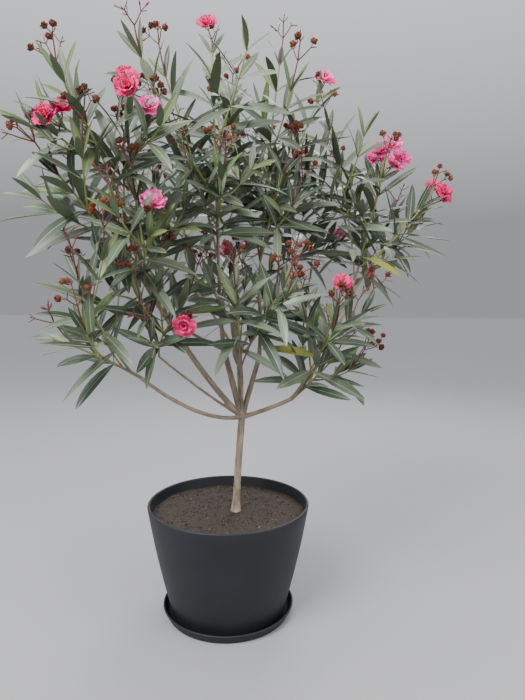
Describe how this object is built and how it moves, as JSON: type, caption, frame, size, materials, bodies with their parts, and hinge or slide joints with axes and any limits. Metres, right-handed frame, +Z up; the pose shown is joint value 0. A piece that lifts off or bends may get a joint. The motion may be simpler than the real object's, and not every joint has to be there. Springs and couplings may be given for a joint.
{
  "type": "potted oleander",
  "caption": "Potted oleander: a slender leaning stem forks low into long tapering boughs under an open crown of lance-shaped leaves and pink flowers, in a round tapered pot on a saucer",
  "frame": {"origin": "the middle of the saucer's flat underside, on the surface that the pot stands on", "axes": "+Z is up, +X is to the right and +Y is away from the viewer as in the picture"},
  "size_m": [1.432, 1.2051, 2.0452],
  "materials": {
    "pot": "satin",
    "soil": "matte",
    "bark": "matte",
    "foliage": "satin"
  },
  "bodies": {
    "root": {"saucer": "pot", "pot": "pot", "soil": "soil", "trunk": "bark", "bough_low_left": "bark", "bough_left_thin": "bark", "bough_left": "bark", "bough_centre_left": "bark", "bough_centre_thin": "bark", "bough_centre_right": "bark", "bough_right": "bark", "bough_back": "bark", "bough_left_upper": "bark", "bough_left_inner": "bark", "bough_centre_tall": "bark", "bough_right_tall": "bark", "bough_right_outer": "bark", "bough_back_left": "bark", "bough_back_right": "bark", "foliage_low_left": "foliage", "foliage_far_left": "foliage", "foliage_left": "foliage", "foliage_left_front": "foliage", "foliage_left_thin": "foliage", "foliage_left_inner": "foliage", "foliage_top": "foliage", "foliage_top_right": "foliage", "foliage_right_high": "foliage", "foliage_far_right": "foliage", "foliage_right_low": "foliage", "foliage_right_front": "foliage", "foliage_front": "foliage", "foliage_back_left": "foliage", "foliage_back": "foliage", "foliage_back_right": "foliage"}
  },
  "joints": []
}
